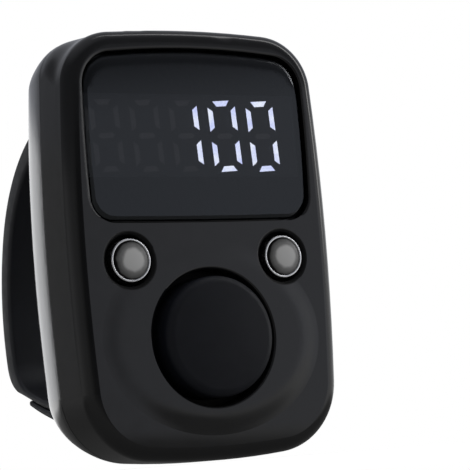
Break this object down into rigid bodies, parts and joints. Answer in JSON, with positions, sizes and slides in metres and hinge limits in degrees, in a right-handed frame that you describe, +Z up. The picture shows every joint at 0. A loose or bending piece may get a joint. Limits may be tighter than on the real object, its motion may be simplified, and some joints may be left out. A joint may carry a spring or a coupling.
{
  "type": "finger-worn tally counter",
  "caption": "Digital tally counter worn on a finger: rounded case with a smoked number window, a round count button, small ringed buttons and a strap loop behind.",
  "frame": {"origin": "centre of the case's flat back face, where the finger rests", "axes": "+X right as seen from the front, +Y out of the back face into the strap loop, +Z up the window; the window and buttons face -Y"},
  "size_m": [0.0288, 0.0369, 0.0424],
  "materials": {
    "front_housing": "satin moulded",
    "rear_housing": "gloss moulded",
    "display_lens": "smoked, polished",
    "lens_adhesive": "foam tape",
    "display_reflector": "matt",
    "display_bars_lit": "translucent, lit",
    "display_bars_dark": "translucent",
    "display_board": "solder mask",
    "display_chips": "phosphor",
    "main_board": "solder mask",
    "controller_chip": "moulded",
    "controller_leads": "tinned",
    "charger_chip": "moulded",
    "passives": "ceramic",
    "count_switch": "moulded",
    "count_switch_cover": "stamped",
    "count_plunger": "moulded",
    "count_button": "fine matt",
    "left_button_cap": "translucent",
    "left_button_ring": "polished",
    "left_plunger": "moulded",
    "left_switch": "moulded",
    "right_button_cap": "translucent",
    "right_button_ring": "polished",
    "right_plunger": "moulded",
    "right_switch": "moulded",
    "socket_shell": "drawn",
    "socket_tongue": "moulded",
    "socket_contacts": "gold plated",
    "cell": "laminated foil",
    "cell_pad": "foam",
    "cell_lead_plus": "insulated",
    "cell_lead_minus": "insulated",
    "case_screws": "black zinc",
    "finger_strap": "smooth silicone",
    "strap_tab": "smooth silicone"
  },
  "bodies": {
    "case": {"front_housing": "front_housing", "rear_housing": "rear_housing", "display_lens": "display_lens", "lens_adhesive": "lens_adhesive", "display_reflector": "display_reflector", "display_bars_lit": "display_bars_lit", "display_bars_dark": "display_bars_dark", "display_board": "display_board", "display_chips": "display_chips", "main_board": "main_board", "controller_chip": "controller_chip", "controller_leads": "controller_leads", "charger_chip": "charger_chip", "passives": "passives", "count_switch": "count_switch", "count_switch_cover": "count_switch_cover", "left_switch": "left_switch", "right_switch": "right_switch", "socket_shell": "socket_shell", "socket_tongue": "socket_tongue", "socket_contacts": "socket_contacts", "cell": "cell", "cell_pad": "cell_pad", "cell_lead_plus": "cell_lead_plus", "cell_lead_minus": "cell_lead_minus", "case_screws": "case_screws", "finger_strap": "finger_strap", "strap_tab": "strap_tab"},
    "count_button": {"count_button": "count_button", "count_plunger": "count_plunger"},
    "left_button": {"left_button_cap": "left_button_cap", "left_button_ring": "left_button_ring", "left_plunger": "left_plunger"},
    "right_button": {"right_button_cap": "right_button_cap", "right_button_ring": "right_button_ring", "right_plunger": "right_plunger"}
  },
  "joints": [
    {"name": "count_press", "type": "slide", "parent": "case", "child": "count_button", "axis": [0, 1, 0], "range_m": [0, 0.0004], "stiffness_N_per_m": 1500},
    {"name": "left_press", "type": "slide", "parent": "case", "child": "left_button", "axis": [0, 1, 0], "range_m": [0, 0.0003], "stiffness_N_per_m": 900},
    {"name": "right_press", "type": "slide", "parent": "case", "child": "right_button", "axis": [0, 1, 0], "range_m": [0, 0.0003], "stiffness_N_per_m": 900}
  ]
}
